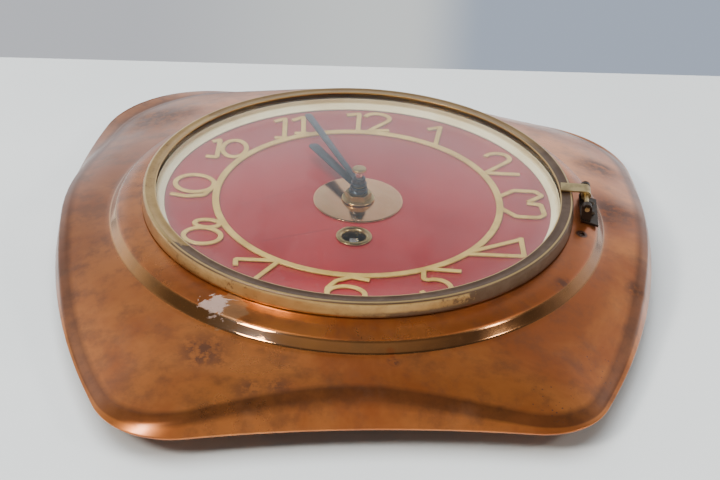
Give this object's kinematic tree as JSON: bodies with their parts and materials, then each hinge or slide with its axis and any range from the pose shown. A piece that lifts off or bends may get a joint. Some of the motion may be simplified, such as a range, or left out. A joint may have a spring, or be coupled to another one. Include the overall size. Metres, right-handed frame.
{
  "type": "key-wound wall clock",
  "caption": "Round dial wall clock in a pressed copper case of free square outline, with a hinged brass bezel, domed glass, baton hands and a key-wound spring movement",
  "frame": {"origin": "centre of the back cover's base, on the dial's axis, in the plane the clock lies on", "axes": "+Z out of the dial, +Y to XII, +X to III"},
  "size_m": [0.2538, 0.2774, 0.0504],
  "materials": {
    "copper_shell": "polished copper, lacquered, patinated and stained",
    "back_steel": "zinc plated pressed steel",
    "bright_steel": "turned steel",
    "dial_paint": "red paint with a soft gloss",
    "centre_copper": "polished copper",
    "numeral_gilt": "matt gilt stamped brass",
    "rehaut_cream": "satin cream lacquer",
    "bezel_brass": "spun brass with a worn gold lacquer",
    "hinge_brass": "brass",
    "hinge_dark": "darkened steel",
    "pane": "clear domed glass",
    "yellow_brass": "lacquered brass",
    "movement_brass": "stamped brass sheet",
    "hand_blue": "blued steel",
    "spring_blue": "blued spring steel"
  },
  "bodies": {
    "case": {"case_shell": "copper_shell", "back_cover": "back_steel", "cover_screw_1": "bright_steel", "cover_screw_2": "bright_steel", "cover_screw_3": "bright_steel", "hanger_plate": "back_steel", "hanger_stud_1": "bright_steel", "hanger_stud_2": "bright_steel", "dial_pan": "back_steel", "dial_plate": "dial_paint", "centre_disc": "centre_copper", "winding_eyelet": "yellow_brass", "rehaut_ring": "rehaut_cream", "dial_bushing": "yellow_brass", "dial_nut": "yellow_brass", "chapter_ring": "numeral_gilt", "hinge_bracket": "hinge_dark", "hinge_screw_1": "hinge_dark", "hinge_screw_2": "hinge_dark", "hinge_pin": "hinge_brass", "front_plate": "movement_brass", "back_plate": "movement_brass", "pillar_1": "movement_brass", "pillar_2": "movement_brass", "pillar_3": "movement_brass", "pillar_4": "movement_brass", "mainspring": "spring_blue", "hairspring": "spring_blue"},
    "bezel": {"bezel_ring": "bezel_brass", "bezel_glass": "pane", "glass_retainer": "bezel_brass", "hinge_strap": "hinge_brass"},
    "minute_arbor": {"minute_hand": "hand_blue", "cannon_pinion": "bright_steel", "hand_nut": "yellow_brass"},
    "hour_pipe": {"hour_hand": "hand_blue", "hour_wheel": "movement_brass"},
    "minute_wheel_body": {"minute_wheel": "movement_brass"},
    "fourth": {"fourth_wheel": "movement_brass"},
    "third": {"third_wheel": "movement_brass"},
    "centre": {"centre_wheel": "movement_brass"},
    "great": {"great_wheel": "movement_brass"},
    "escape": {"escape_wheel": "movement_brass"},
    "winding": {"winding_arbor": "bright_steel"},
    "click_body": {"click": "bright_steel"},
    "lever": {"pallet_lever": "bright_steel"},
    "balance": {"balance_wheel": "movement_brass"},
    "index": {"regulator_index": "bright_steel"}
  },
  "joints": [
    {"name": "bezel_hinge", "type": "hinge", "parent": "case", "child": "bezel", "pos_m": [0.0952, 0, 0.0384], "axis": [0, 1, 0], "range_deg": [0, 115]},
    {"name": "minute_hand_spin", "type": "hinge", "parent": "case", "child": "minute_arbor", "pos_m": [0, 0, 0.041], "axis": [0, 0, -1], "continuous": true},
    {"name": "hour_hand_spin", "type": "hinge", "parent": "case", "child": "hour_pipe", "pos_m": [0, 0, 0.038], "axis": [0, 0, -1], "continuous": true},
    {"name": "minute_wheel_spin", "type": "hinge", "parent": "case", "child": "minute_wheel_body", "pos_m": [0.0094, 0.00342, 0.027], "axis": [0, 0, -1], "continuous": true},
    {"name": "fourth_wheel_spin", "type": "hinge", "parent": "case", "child": "fourth", "pos_m": [-0.00651, 0.02382, 0.01], "axis": [0, 0, 1], "continuous": true},
    {"name": "third_wheel_spin", "type": "hinge", "parent": "case", "child": "third", "pos_m": [-0.01365, 0.01145, 0.012], "axis": [0, 0, 1], "continuous": true},
    {"name": "centre_wheel_spin", "type": "hinge", "parent": "case", "child": "centre", "pos_m": [0, 0, 0.017], "axis": [0, 0, 1], "continuous": true},
    {"name": "great_wheel_spin", "type": "hinge", "parent": "case", "child": "great", "pos_m": [0, -0.0295, 0.021], "axis": [0, 0, 1], "continuous": true},
    {"name": "escape_wheel_spin", "type": "hinge", "parent": "case", "child": "escape", "pos_m": [0.00554, 0.0217, 0.015], "axis": [0, 0, 1], "continuous": true},
    {"name": "winding_arbor_spin", "type": "hinge", "parent": "great", "child": "winding", "pos_m": [0, -0.0295, 0.023], "axis": [0, 0, -1], "continuous": true},
    {"name": "click_pivot", "type": "hinge", "parent": "great", "child": "click_body", "pos_m": [0, -0.0435, 0.023], "axis": [0, 0, 1], "range_deg": [0, 10]},
    {"name": "lever_swing", "type": "hinge", "parent": "case", "child": "lever", "pos_m": [0.01514, 0.0217, 0.016], "axis": [0, 0, 1], "range_deg": [-5, 5]},
    {"name": "balance_swing", "type": "hinge", "parent": "case", "child": "balance", "pos_m": [0.02614, 0.0217, 0.019], "axis": [0, 0, 1], "range_deg": [-130, 130]},
    {"name": "regulator_turn", "type": "hinge", "parent": "case", "child": "index", "pos_m": [0.02614, 0.0217, 0.004], "axis": [0, 0, 1], "range_deg": [-15, 15]}
  ],
  "couplings": [
    {"joint": "hour_hand_spin", "follows": "minute_hand_spin", "ratio": 0.083333},
    {"joint": "minute_wheel_spin", "follows": "minute_hand_spin", "ratio": -0.33333},
    {"joint": "third_wheel_spin", "follows": "fourth_wheel_spin", "ratio": -0.13333},
    {"joint": "centre_wheel_spin", "follows": "fourth_wheel_spin", "ratio": 0.016667},
    {"joint": "great_wheel_spin", "follows": "fourth_wheel_spin", "ratio": -0.0033333},
    {"joint": "escape_wheel_spin", "follows": "fourth_wheel_spin", "ratio": -7.5}
  ]
}
